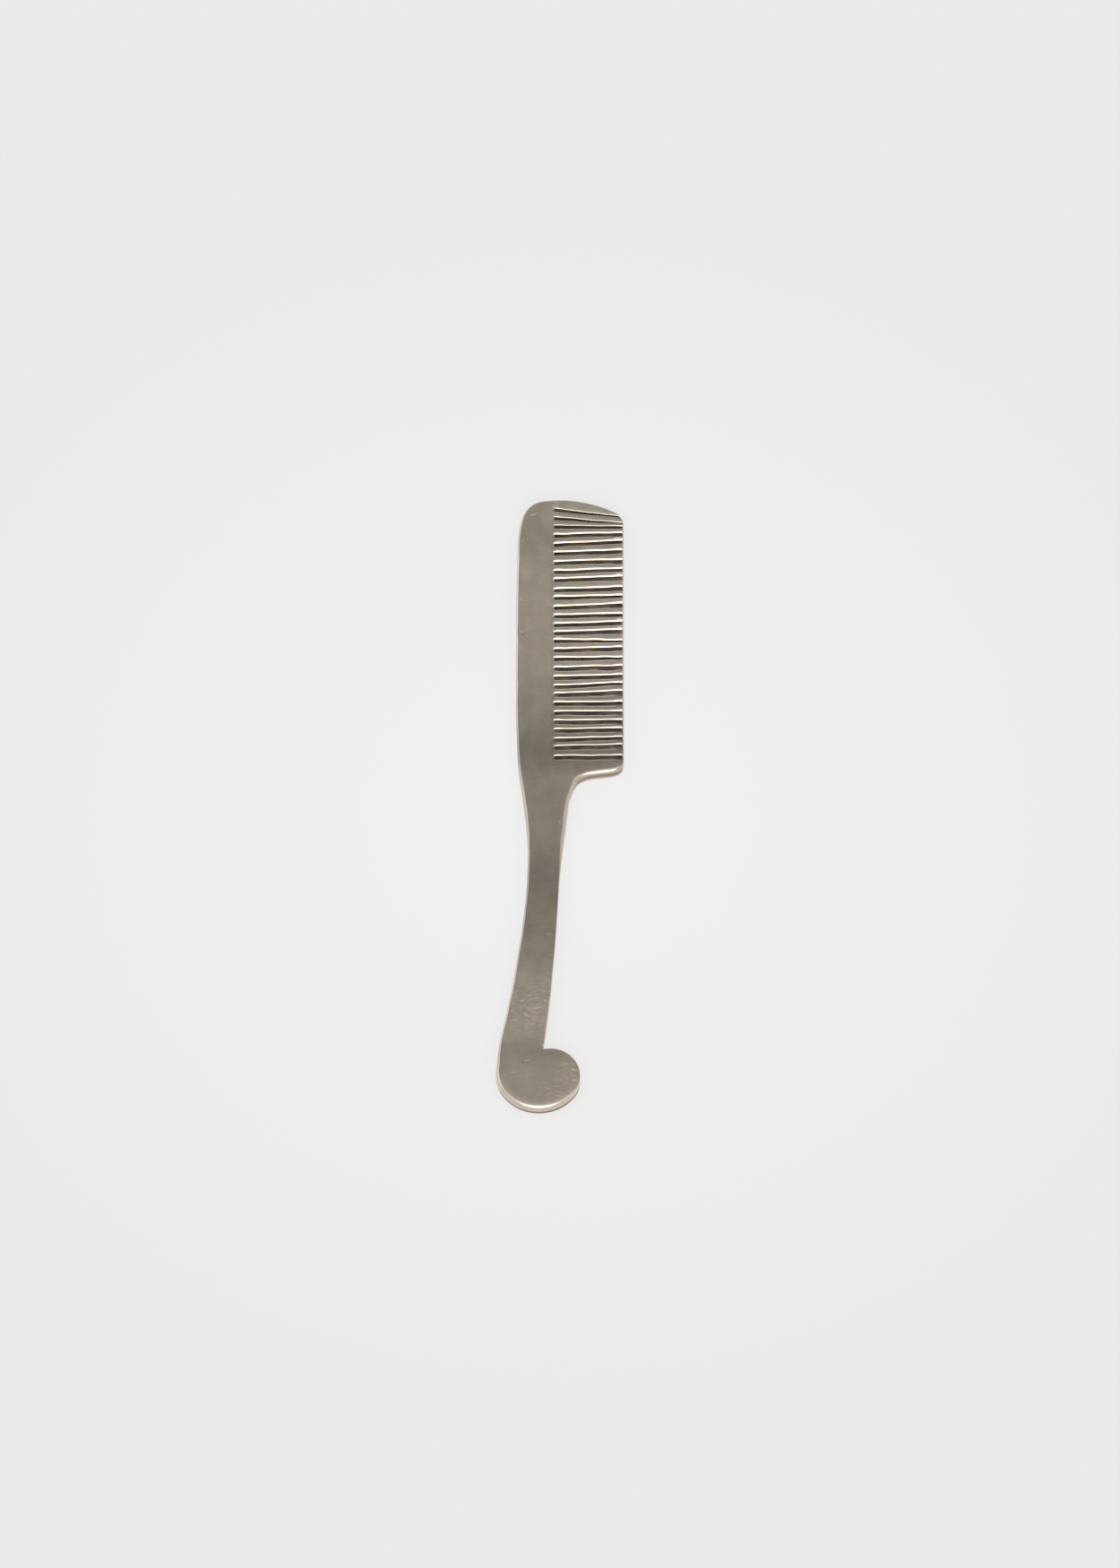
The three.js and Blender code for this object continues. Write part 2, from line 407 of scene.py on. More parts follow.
def edge_rounding():
    """How far the edge is rounded over at each fine point."""
    radius = np.zeros(len(fine))
    for i in range(len(fine)):
        radius[i] = cut_rounding(i) if inner_edge[i] else outer_rounding(i)
        radius[i] *= 1.0 + ROUND_UNEVEN * wave(along_outline[i] / ROUND_WAVE, 2.2)
        if math.dist(fine[i], SAW_NICK_AT) < SAW_NICK_REACH:
            radius[i] = SAW_NICK_ROUND
    half = ROUND_BLEND // 2
    padded = np.concatenate([radius[-half:], radius, radius[:half]])
    return np.convolve(padded, np.ones(ROUND_BLEND) / ROUND_BLEND, "valid")


rounding = edge_rounding()

# The face's soft fall towards the edge beside each fine point, as (how wide, how far).
facing_back = smooth_step(-0.2, 0.6, normals[:, 1])[:, None]
soft_edge_of = between(np.array(SOFT_OUTER), np.array(SOFT_BACK), facing_back)
soft_edge_of = between(soft_edge_of, np.array(SOFT_SCROLL), under_scroll[:, None])
low_cuts = smooth_step(LOW_CUTS_FROM, LOW_CUTS_FULL, fine[:, 1])[:, None]
soft_cut = between(np.array(SOFT_CUT), np.array(SOFT_CUT_BACK), facing_back * low_cuts)
soft_edge_of = np.where(inner_edge[:, None], soft_cut, soft_edge_of)


# ---- Marks on the polished face: nicks, each (from, to, size) in millimetres, and scratches ----
NICKS = [
    ((-7.2, 80.5), (-5.9, 80.8), 0.17),
    ((-9.2, 73.4), (-9.1, 73.0), 0.14),
    ((-9.4, 57.0), (-9.2, 56.6), 0.12),
    ((-9.1, 47.8), (-9.0, 47.6), 0.12),
    ((-2.1, 12.3), (-2.1, 11.8), 0.09),
    ((0.0, -5.6), (0.2, -6.1), 0.12),
    ((-4.4, -34.9), (-3.6, -34.7), 0.07),
    ((-3.2, -34.9), (-2.7, -34.8), 0.08),
    ((-3.1, -36.8), (-2.3, -36.5), 0.07),
    ((-2.5, -42.6), (-2.1, -42.9), 0.09),
    ((-8.0, -52.4), (-7.6, -52.0), 0.08),
    ((-9.4, -55.4), (-8.6, -55.0), 0.10),
    ((-7.2, -54.9), (-5.2, -54.4), 0.07),
    ((-7.8, -57.7), (-4.2, -56.9), 0.08),
    ((-3.2, -51.6), (-3.0, -53.2), 0.07),
    ((-8.2, -59.1), (-7.7, -59.6), 0.11),
    ((-7.1, -61.8), (-6.4, -61.6), 0.08),
    ((-8.6, -71.9), (-7.7, -71.65), 0.16),
    ((-11.8, -75.2), (-11.0, -75.1), 0.09),
    ((0.9, -72.5), (2.1, -72.8), 0.12),
    ((1.4, -70.4), (1.7, -70.9), 0.08),
    ((2.9, -77.3), (4.0, -77.3), 0.12),
    ((3.2, -74.3), (3.6, -74.7), 0.09),
    ((-0.6, -77.5), (-0.2, -77.3), 0.09),
    ((-0.6, -81.6), (0.5, -81.9), 0.12),
    ((2.0, -80.5), (2.5, -80.1), 0.09),
]
NICK_WIDTH = 1.15  # a nick's half width, as a share of its size
NICK_DEPTH = 0.14  # as a share of its half width
SCRATCH_WIDTH = 0.09  # half a scratch's width
SCRATCH_DEPTHS = 0.015, 0.04  # the least and the most, as shares of its half width
SCRATCH_REACHES = 0.3, 1.1  # half of its length
SCRATCH_LEAN, SCRATCH_LEAN_SPREAD = 0.12, 0.15
SCRATCHES_X, SCRATCHES_LOW_Y, SCRATCHES_HIGH_Y = (-10.0, 3.0), (-82, -45), (-45, 82)
SCRATCHES_HIGH_EVERY = 3  # every third one is above the handle's low end


def random_scratches():
    """Fine scratches over the face, mostly across the comb and mostly near the scroll."""
    draw = random.Random(153)
    scratches = []
    for i in range(RANDOM_SCRATCHES):
        x = draw.uniform(*SCRATCHES_X)
        y = draw.uniform(*(SCRATCHES_LOW_Y if i % SCRATCHES_HIGH_EVERY else SCRATCHES_HIGH_Y))
        middle = np.array([x, y])
        lean = draw.gauss(SCRATCH_LEAN, SCRATCH_LEAN_SPREAD)
        across = np.array([math.cos(lean), math.sin(lean)]) * draw.uniform(*SCRATCH_REACHES)
        depth = draw.uniform(*SCRATCH_DEPTHS)
        scratches.append((middle - across, middle + across, SCRATCH_WIDTH, depth))
    return scratches


marks = [(np.array(a), np.array(b), NICK_WIDTH * size, NICK_DEPTH) for a, b, size in NICKS]
marks += random_scratches()
MARK_SIDES = -2, -1.1, -0.5, 0, 0.5, 1.1, 2  # where the points across a mark lie, in half widths


def mark_points():
    """Points along and beside every mark, so that the mesh can carry its shape."""
    points = []
    for a, b, width, _ in marks:
        run = unit(b - a)
        reach = np.linalg.norm(b - a) + 2 * width
        count_along = max(3, round(reach / (1.5 * width)))
        for i in range(count_along):
            middle = a - run * width + run * reach * i / (count_along - 1)
            points.extend(middle + left_of(run) * width * side for side in MARK_SIDES)
    return np.array(points)


def mark_depth(points):
    """How deep the marks go at each point, and the slope of their sides."""
    depth = np.zeros(len(points))
    slope = np.zeros((len(points), 2))
    for a, b, width, deep in marks:
        near = np.abs(points - (a + b) / 2).max(axis=1) < np.linalg.norm(b - a) / 2 + 4 * width
        if not near.any():
            continue
        p = points[near]
        t = np.clip((p - a) @ (b - a) / ((b - a) @ (b - a)), 0, 1)
        away = p - (a + t[:, None] * (b - a))
        level = deep * width * np.exp(-(away**2).sum(axis=1) / width**2)
        depth[near] += level
        slope[near] += (-2 / width**2) * away * level[:, None]
    return depth, slope


# ---- Heights and normals over the whole comb ----
fine_tree = KDTree(len(fine))
for i, (x, y) in enumerate(fine):
    fine_tree.insert((x, y, 0), i)
fine_tree.balance()

Nearest = namedtuple("Nearest", "distance outward radius soft inner")


def nearest_on_outline(points):
    """For each point, its distance to the outline, and what the outline is like there."""
    closest = np.array([fine_tree.find((x, y, 0))[1] for x, y in points])
    best = np.full(len(points), np.inf)
    normal = np.zeros((len(points), 2))
    radius = np.zeros(len(points))
    for shift in (-1, 0):
        a = (closest + shift) % len(fine)
        b = (a + 1) % len(fine)
        span = fine[b] - fine[a]
        t = np.clip(((points - fine[a]) * span).sum(axis=1) / (span**2).sum(axis=1), 0, 1)
        gap = np.hypot(*(points - fine[a] - t[:, None] * span).T)
        better = gap < best
        best = np.where(better, gap, best)
        mixed = normals[a] * (1 - t[:, None]) + normals[b] * t[:, None]
        normal = np.where(better[:, None], mixed, normal)
        radius = np.where(better, rounding[a] * (1 - t) + rounding[b] * t, radius)
    normal /= np.hypot(*normal.T)[:, None]
    return Nearest(best, normal, radius, soft_edge_of[closest], inner_edge[closest])


def swell(points):
    """The slow rise and fall of the hand-polished face: its drop at each point, and its slope."""
    def level(x, y):
        broad = wave(x / SWELL_BROAD[0], y / SWELL_BROAD[1], 3.7)
        narrow = wave(x / SWELL_NARROW[0], y / SWELL_NARROW[1], 8.2)
        return FACE_SWELL * (0.5 + 0.4 * broad + 0.1 * narrow)

    def bow(y):
        """The bow runs smoothly from one of its points to the next."""
        drop = np.zeros(len(y))
        for (low, a), (high, b) in zip(FACE_BOW, FACE_BOW[1:]):
            within = (y >= low) & (y < high)
            drop[within] = between(a, b, smooth_step(low, high, y[within]))
        return drop

    nudge = 0.05
    here = np.array([level(x, y) for x, y in points]) + bow(points[:, 1])
    right = np.array([level(x + nudge, y) for x, y in points]) + bow(points[:, 1])
    up = np.array([level(x, y + nudge) for x, y in points]) + bow(points[:, 1] + nudge)
    return here, np.stack([right - here, up - here], axis=1) / nudge


def face_heights(points, nearest, top):
    """Height and normal of the top or bottom face at each point."""
    distance, outward, radius, soft, _ = nearest
    if not top:
        scroll = smooth_step(UNDER_SCROLL_FROM, UNDER_SCROLL_FULL, points[:, 1])
        radius = radius * between(UNDER_SHARE, UNDER_SHARE_SCROLL, scroll)
        radius = np.minimum(radius, UNDER_ROUND_MOST)
    reach = np.clip(distance / radius, 0, 1)
    upright = np.sqrt(1 - (1 - reach) ** 2)
    drop = radius * (1 - upright)
    facing = np.concatenate([outward * (1 - reach)[:, None], upright[:, None]], axis=1)
    if not top:
        facing[:, 2] *= -1
        return drop, facing
    flat = smooth_step(0.0, 1.0, reach)
    rise, rise_slope = swell(points)
    depth, depth_slope = mark_depth(points)
    width, fall = soft.T
    inward = np.clip(1 - distance / width, 0, 1)
    rise = rise + fall * inward**2
    rise_slope = rise_slope + outward * (2 * fall / width * inward)[:, None]
    heights = THICKNESS - drop - (rise + depth) * flat
    facing[:, :2] += (rise_slope + depth_slope) * (flat * facing[:, 2])[:, None]
    facing /= np.linalg.norm(facing, axis=1)[:, None]
    return heights, facing


# ---- One closed mesh for each CAD node ----
ROUND_SHARES = [1 - math.cos(math.radians(90) * k / ROUND_STEPS) for k in range(1, ROUND_STEPS + 1)]


def seam_points(a, b):
    """Points between the two ends of a seam, the same whichever way it is walked."""
    ends = sorted((a, b))
    p, q = (fine[first_fine[i]] if i in first_fine else np.array(cad_points[i]) for i in ends)
    length = np.linalg.norm(q - p)
    marks_on = set()
    for end in ends:
        if end in first_fine:
            radius = rounding[first_fine[end]]
            reaches = [share * radius for share in ROUND_SHARES]
            marks_on.update(reaches if end == ends[0] else [length - reach for reach in reaches])
    low = min([d for d in marks_on if d > length / 2], default=length)
    high = max([d for d in marks_on if d < length / 2], default=0.0)
    middle = max(1, round((low - high) / FILL_STEP))
    marks_on.update(high + (low - high) * i / middle for i in range(1, middle))
    points = [p + (q - p) * d / length for d in sorted(marks_on)]
    return points if a == ends[0] else points[::-1]


def piece_boundary(loop):
    """The piece's fine outline.

    Returns its points, the fine point that each one is (or -1), and which of its edges are seams.
    """
    points, source, seam = [], [], []

    def add(point, fine_index, on_seam):
        points.append(point)
        source.append(fine_index)
        seam.append(on_seam)

    for a, b in zip(loop, loop[1:] + loop[:1]):
        if is_seam(a, b):
            if a in first_fine:
                add(fine[first_fine[a]], first_fine[a], True)
            else:
                add(np.array(cad_points[a]), -1, True)
            for point in seam_points(a, b):
                add(point, -1, True)
        else:
            stop = first_fine[b] if first_fine[b] > first_fine[a] else first_fine[b] + len(fine)
            for i in range(first_fine[a], stop):
                add(fine[i % len(fine)], i % len(fine), False)
    return np.array(points), np.array(source), np.array(seam)


def inside(points, polygon):
    """Which points are inside the polygon."""
    x, y = points[:, 0][:, None], points[:, 1][:, None]
    ax, ay = polygon[:, 0][None], polygon[:, 1][None]
    bx, by = np.roll(polygon[:, 0], -1)[None], np.roll(polygon[:, 1], -1)[None]
    crosses = (ay > y) != (by > y)
    rise = np.where(by == ay, 1e-12, by - ay)
    return (crosses & (x < ax + (y - ay) * (bx - ax) / rise)).sum(axis=1) % 2 == 1


def gap_to_seams(points, boundary, seam):
    """Distance from each point to the piece's nearest seam."""
    gap = np.full(len(points), np.inf)
    for i in np.where(seam)[0]:
        a, b = boundary[i], boundary[(i + 1) % len(boundary)]
        span = b - a
        t = np.clip((points - a) @ span / (span @ span), 0, 1)
        gap = np.minimum(gap, np.hypot(*(points - a - t[:, None] * span).T))
    return gap


def ring_points(boundary, source, seam):
    """The rings across the rounded edge: their points, and the edges that join them."""
    points, edges = [], []
    for share in ROUND_SHARES:
        offsets = share * rounding[source]
        moved = boundary - normals[source] * offsets[:, None]
        distance = nearest_on_outline(moved).distance
        good = (source >= 0) & (distance > RING_TRUE * offsets)
        good &= inside(moved, boundary) & (gap_to_seams(moved, boundary, seam) > RING_OFF_SEAM)
        index = {}
        for i in np.where(good)[0]:
            index[i] = len(points)
            points.append(moved[i])
        edges.extend((index[i], index[i + 1]) for i in index if i + 1 in index and not seam[i])
    return points, edges


def fill_points(boundary, seam):
    """Points over the flat of the face, on a staggered grid, and the points that the marks need."""
    low, high = boundary.min(axis=0), boundary.max(axis=0)
    rows = np.arange(low[1] + FILL_STEP / 2, high[1], FILL_STEP * FILL_ROWS)
    grid = [
        (x, y)
        for j, y in enumerate(rows)
        for x in np.arange(low[0] + FILL_STEP / 2 * (1 + j % 2), high[0], FILL_STEP)
    ]
    kept = []
    if grid:
        grid = np.array(grid)
        near = nearest_on_outline(grid)
        room = (near.distance > near.radius + FILL_OFF) & inside(grid, boundary)
        kept.extend(grid[room & (gap_to_seams(grid, boundary, seam) > FILL_OFF)])
    extra = all_mark_points[((all_mark_points > low) & (all_mark_points < high)).all(axis=1)]
    if len(extra):
        near = nearest_on_outline(extra)
        room = (near.distance > near.radius * MARK_OFF_ROUND) & inside(extra, boundary)
        kept.extend(extra[room & (gap_to_seams(extra, boundary, seam) > MARK_OFF_SEAM)])
    return kept


all_mark_points = mark_points()
INSIDE_ONLY, MERGE_WITHIN = 1, 1e-6  # for the triangles: only those inside the outline are kept


def flat_mesh(boundary, source, seam):
    """The piece seen from above, cut into triangles.

    Returns the points, the triangles, and which of the points lie round the edge, in their order.
    """
    n = len(boundary)
    rings, ring_edges = ring_points(boundary, source, seam)
    filling = fill_points(boundary, seam)
    flat = [Vector(p) for p in [*boundary, *rings, *filling]]
    edges = [(a + n, b + n) for a, b in ring_edges]
    made = delaunay_2d_cdt(flat, edges, [list(range(n))], INSIDE_ONLY, MERGE_WITHIN)
    points = np.array([(v.x, v.y) for v in made[0]])
    triangles = [list(t) for t in made[2]]
    place = {}
    for i, originals in enumerate(made[3]):
        for original in originals:
            if original < n:
                place[original] = i
    return points, triangles, [place[i] for i in range(n)]


def closed_shell(points, triangles, edge_loop, heights, facings):
    """The piece's vertices, the way each one faces, and its faces.

    The vertices are those of the top, of the underside, and of the wall's rows. The faces are those of the
    top, of the underside, and of the wall, where each row goes once round the piece.
    """
    (top, low), (top_facing, low_facing) = heights, facings
    under = len(points)  # where the underside's vertices begin
    vertices = [(x, y, z) for (x, y), z in zip(points, top)]
    vertices += [(x, y, z) for (x, y), z in zip(points, low)]
    facing = [*top_facing, *low_facing]
    faces = list(triangles)
    faces += [[under + i for i in reversed(t)] for t in triangles]

    rows = [edge_loop]
    for r in range(1, WALL_ROWS + 1):
        share = r / (WALL_ROWS + 1)
        rows.append([len(vertices) + k for k in range(len(edge_loop))])
        for i in edge_loop:
            vertices.append((*points[i], top[i] * (1 - share) + low[i] * share))
            facing.append(top_facing[i] * (1 - share) + low_facing[i] * share)
    rows.append([under + i for i in edge_loop])
    for upper, lower in zip(rows, rows[1:]):
        for i in range(len(edge_loop)):
            j = (i + 1) % len(edge_loop)
            faces.append([lower[i], lower[j], upper[j], upper[i]])
    facing = np.array(facing)
    return vertices, facing / np.linalg.norm(facing, axis=1)[:, None], faces


def build_piece(name, loop):
    """A closed mesh with rounded edges for one CAD node."""
    boundary, source, seam = piece_boundary(loop)
    points, triangles, edge_loop = flat_mesh(boundary, source, seam)
    nearest = nearest_on_outline(points)
    heights, facings = zip(*(face_heights(points, nearest, top) for top in (True, False)))
    vertices, facing, faces = closed_shell(points, triangles, edge_loop, heights, facings)
    mesh = bpy.data.meshes.new(name)
    mesh.from_pydata([tuple(c * MM for c in v) for v in vertices], [], faces)
    mesh.validate()

    on_seam = [False] * (2 * len(triangles)) + list(seam) * (WALL_ROWS + 1)
    smooth_with(mesh, facing, on_seam)
    inner_on_walls = np.tile(nearest.inner[edge_loop], WALL_ROWS)
    inner = np.concatenate([nearest.inner, nearest.inner, inner_on_walls])
    add_attribute(mesh, "within_cut", painted_cut_shade(np.array(vertices), inner))
    add_attribute(mesh, "on_side", side_shares(facing))
    return mesh


def smooth_with(mesh, facing, on_seam):
    """Gives the mesh its own normals, and leaves the faces on the seams flat."""
    loop_normals = []
    for polygon in mesh.polygons:
        polygon.use_smooth = True
        if on_seam[polygon.index]:
            loop_normals.extend([polygon.normal.copy()] * len(polygon.vertices))
        else:
            loop_normals.extend(Vector(facing[v]) for v in polygon.vertices)
    mesh.normals_split_custom_set(loop_normals)


def add_attribute(mesh, name, values):
    attribute = mesh.attributes.new(name, "FLOAT", "POINT")
    attribute.data.foreach_set("value", values.astype(np.float32))


# Painted shade in the saw cuts:
CUT_DARK_FROM, CUT_DARK_FULL = 0.12, 0.8  # how far below the top face a cut begins to be dark, and is
CUT_OPEN_FROM, CUT_OPEN_FULL = 0.35, 0.05  # how far from the tips it begins to be open, and is
# Painted light at the roots of the low cuts, where the painted shade is lifted here and there: how far out
# from the root, along what stretch of Y, and how far apart.
BRIGHT_REACH, BRIGHT_FROM, BRIGHT_FULL, BRIGHT_WAVE = 0.8, 50, 25, 3.1


def painted_cut_shade(vertices, inner):
    """How much painted shade each vertex gets down a saw cut: 0 on the top and outside, 1 well down its
    side.

    The underside beside the cuts counts as deep too, though it should be clean, and so it comes out dark.
    """
    x, y, z = vertices.T
    among = inner * (1 - smooth_step(tip_x - CUT_OPEN_FROM, tip_x - CUT_OPEN_FULL, x))
    uneven = np.array([max(0.0, 0.3 + 0.7 * wave(b / BRIGHT_WAVE, 5.5)) for b in y])
    low_cut = smooth_step(BRIGHT_FROM, BRIGHT_FULL, y)
    # painted light that lifts the painted shade at some roots
    bright_root = np.exp(-(((x - root_x) / BRIGHT_REACH) ** 2)) * low_cut * uneven
    return among * smooth_step(CUT_DARK_FROM, CUT_DARK_FULL, THICKNESS - z) * (1 - bright_root)


def side_shares(facing):
    """1 where the surface is the comb's side, 0 where it is a face."""
    up, down = facing[:, 2], -facing[:, 2]
    return (1 - smooth_step(0.1, 0.5, up)) * (1 - smooth_step(0.75, 0.97, down))


# ---- Materials: small helpers ----
def add_node(tree, kind, **values):
    node = tree.nodes.new(kind)
    for key, value in values.items():
        if hasattr(node, key):
            setattr(node, key, value)
        else:
            node.inputs[key.replace("_", " ")].default_value = value
    return node


def stretched_noise(tree, coordinates, scale, detail, turn=0.0):
    """Noise stretched by a different scale along each axis."""
    mapping = add_node(tree, "ShaderNodeMapping")
    mapping.inputs["Scale"].default_value = scale
    mapping.inputs["Rotation"].default_value = (0, 0, turn)
    tree.links.new(coordinates, mapping.inputs["Vector"])
    grain = add_node(tree, "ShaderNodeTexNoise", Scale=1.0, Detail=detail, Roughness=0.6)
    tree.links.new(mapping.outputs["Vector"], grain.inputs["Vector"])
    return grain.outputs["Fac"]


def map_range(tree, value, from_low, from_high, to_low, to_high):
    node = add_node(tree, "ShaderNodeMapRange")
    tree.links.new(value, node.inputs["Value"])
    keys = "From Min", "From Max", "To Min", "To Max"
    for key, number in zip(keys, (from_low, from_high, to_low, to_high)):
        node.inputs[key].default_value = number
    return node.outputs["Result"]


def mix_colour(tree, share, a, b):
    node = add_node(tree, "ShaderNodeMix", data_type="RGBA")
    tree.links.new(share, node.inputs["Factor"])
    for socket, value in ((node.inputs["A"], a), (node.inputs["B"], b)):
        if isinstance(value, tuple):
            socket.default_value = value
        else:
            tree.links.new(value, socket)
    return node.outputs["Result"]


def maths(tree, operation, a, b):
    node = add_node(tree, "ShaderNodeMath", operation=operation)
    for socket, value in ((node.inputs[0], a), (node.inputs[1], b)):
        if isinstance(value, (int, float)):
            socket.default_value = value
        else:
            tree.links.new(value, socket)
    return node.outputs["Value"]


def colour_along(tree, value, stops):
    """A smooth run of greys: each stop is (where, grey)."""
    node = add_node(tree, "ShaderNodeValToRGB")
    ramp = node.color_ramp
    ramp.interpolation = "EASE"
    low, high = stops[0][0], stops[-1][0]
    while len(ramp.elements) < len(stops):
        ramp.elements.new(0.5)
    for element, (where, grey) in zip(ramp.elements, stops):
        element.position = (where - low) / (high - low)
        element.color = (grey, grey, grey, 1)
    tree.links.new(map_range(tree, value, low * MM, high * MM, 0, 1), node.inputs["Fac"])
    return node.outputs["Color"]


def attribute(tree, name):
    """A number that the mesh carries for each of its points."""
    return add_node(tree, "ShaderNodeAttribute", attribute_name=name).outputs["Fac"]


def scaled(tree, colour, factor):
    """The colour times a factor, which may itself be a grey."""
    node = add_node(tree, "ShaderNodeVectorMath", operation="MULTIPLY")
    tree.links.new(colour, node.inputs[0])
    tree.links.new(factor, node.inputs[1])
    return node.outputs["Vector"]


# ---- Materials: the metal ----
METAL = (0.775, 0.672, 0.555, 1)
METAL_OLIVE = (0.755, 0.675, 0.53, 1)
METAL_ROSE = (0.80, 0.677, 0.58, 1)
METAL_CROWN = (0.71, 0.655, 0.53, 1)
# Painted glints on the top face
METAL_GLINT = (0.90, 0.80, 0.62, 1)
GLINT_SPOTS = [((-7, -57), 10.0), ((2, -75), 5.5), ((-1.5, -49), 5.0), ((-1, -80), 5.0)]  # (middle, reach)
GLINTS_ELSEWHERE = 0.08
# Painted shade, down in the saw cuts
CUT_SHADE = (0.065, 0.058, 0.047, 1)
# Painted dark reflections on the sides
SIDE_DARK_REFLECTION = (0.56, 0.45, 0.36, 1)
SCROLL_FOOT_SHADOW = (0.17, 0.13, 0.10, 1)  # painted contact shadow along the foot of the scroll's side
HEEL_DARK_REFLECTION = (0.26, 0.19, 0.14, 1)
HEEL_BAND_Y, HEEL_BAND_Z = 7.0 * MM, 1.9 * MM  # the painted dark reflection runs round the middle of the heel's side
SCRIBED_X = -1.93 * MM  # the line that was scribed to stop the saw at, beside the row of cuts
SCRIBED_FROM_Y = 11.5 * MM
# The face's brightness along the comb, painted into its colour as painted shade and reflection where the
# polished face catches more or less of the light: (Y in millimetres, brightness).
PAINTED_FACE_SHADE = [
    (-86, 0.87), (-80, 0.80), (-75, 0.79), (-70, 0.66), (-62, 0.84), (-50, 0.82), (-42, 0.66),
    (-34, 0.61), (-22, 0.53), (-8, 0.69), (5, 0.69), (14, 0.53), (26, 0.71), (40, 0.84), (54, 0.88),
    (64, 0.89), (74, 0.76), (86, 0.86),
]
# painted shade: the sides are painted this much darker
PAINTED_SIDE_SHADE = (0.86, 0.86, 0.86, 1)
BUMP_HEIGHT = 0.0012 * MM

# What the parts of the metal's material are worked out from.
Surface = namedtuple("Surface", "tree place x y z facing on_side within_cut")


def surface_of(tree):
    """The place and the facing of a point of the comb, and what its mesh says about it."""
    coordinates = add_node(tree, "ShaderNodeTexCoord").outputs
    axes = add_node(tree, "ShaderNodeSeparateXYZ")
    tree.links.new(coordinates["Object"], axes.inputs["Vector"])
    facing = add_node(tree, "ShaderNodeSeparateXYZ")
    tree.links.new(coordinates["Normal"], facing.inputs["Vector"])
    sides = attribute(tree, "on_side"), attribute(tree, "within_cut")
    return Surface(tree, coordinates["Object"], *axes.outputs, facing.outputs, *sides)


def tone_and_tip_sheen(on):
    """Warm white metal with olive and rosy shifts of tone; painted rosier towards the tips and lighter
    over the teeth, as painted reflection.
    """
    tree = on.tree
    olive = map_range(tree, stretched_noise(tree, on.place, (150, 110, 60), 3), 0.4, 0.62, 0, 1)
    rose = stretched_noise(tree, on.place, (230, 180, 100), 2, 0.4)
    rose = map_range(tree, rose, 0.48, 0.7, 0, 0.8)
    tip_sheen_share = map_range(tree, on.x, 2 * MM, 14 * MM, 0, 1)
    base = mix_colour(tree, olive, METAL, METAL_OLIVE)
    base = mix_colour(tree, maths(tree, "MAXIMUM", rose, tip_sheen_share), base, METAL_ROSE)
    # painted reflection: the teeth are painted a little lighter than the spine
    return scaled(tree, base, map_range(tree, on.x, -1 * MM, 3 * MM, 1.0, 1.07))


def face_shade_and_marks(on, streaks):
    """How dark the metal is painted: painted shade along the comb and on the sides, fine polishing
    streaks, and the scribed line.
    """
    tree = on.tree
    shaded = mix_colour(tree, on.on_side, colour_along(tree, on.y, PAINTED_FACE_SHADE), PAINTED_SIDE_SHADE)
    shaded = scaled(tree, shaded, map_range(tree, streaks, 0.3, 0.7, 0.98, 1.02))
    off_line = maths(tree, "ABSOLUTE", maths(tree, "SUBTRACT", on.x, SCRIBED_X), 0)
    in_row = maths(tree, "GREATER_THAN", on.y, SCRIBED_FROM_Y)
    line = map_range(tree, off_line, 0.05 * MM, 0.16 * MM, 0.09, 0)
    return scaled(tree, shaded, maths(tree, "SUBTRACT", 1.0, maths(tree, "MULTIPLY", line, in_row)))


def with_crown(on, base):
    """The end guard, near the crown, is a greyer olive."""
    tree = on.tree
    share = maths(
        tree, "MULTIPLY",
        map_range(tree, on.y, 75 * MM, 82 * MM, 0, 0.8),
        map_range(tree, on.x, -6 * MM, 0, 0, 1),
    )
    return mix_colour(tree, share, base, METAL_CROWN)


def with_painted_glints(on, base):
    """Painted glints: pale flecks painted on the top face, most of them in a few spots."""
    tree = on.tree
    on_top = map_range(tree, on.facing["Z"], 0.96, 0.99, 0, 1)
    flecks = stretched_noise(tree, on.place, (620, 1250, 600), 2, 0.2)
    flecks = maths(tree, "MULTIPLY", map_range(tree, flecks, 0.50, 0.72, 0, 0.62), on_top)
    # the share of painted glints
    worn = GLINTS_ELSEWHERE
    for middle, reach in GLINT_SPOTS:
        away = add_node(tree, "ShaderNodeVectorMath", operation="DISTANCE")
        tree.links.new(on.place, away.inputs[0])
        away.inputs[1].default_value = [c * MM for c in (*middle, THICKNESS)]
        spot = map_range(tree, away.outputs["Value"], 0.4 * reach * MM, reach * MM, 1, 0)
        worn = maths(tree, "MAXIMUM", spot, worn)
    return mix_colour(tree, maths(tree, "MULTIPLY", flecks, worn), base, METAL_GLINT)


def with_cut_shade(on, base):
    """Painted shade: where within_cut is 1, down in the saw cuts, the metal is painted nearly black."""
    tree = on.tree
    uneven = map_range(tree, stretched_noise(tree, on.place, (500, 700, 900), 2), 0.35, 0.65, 0.94, 1.0)
    return mix_colour(tree, maths(tree, "MULTIPLY", on.within_cut, uneven), base, CUT_SHADE)


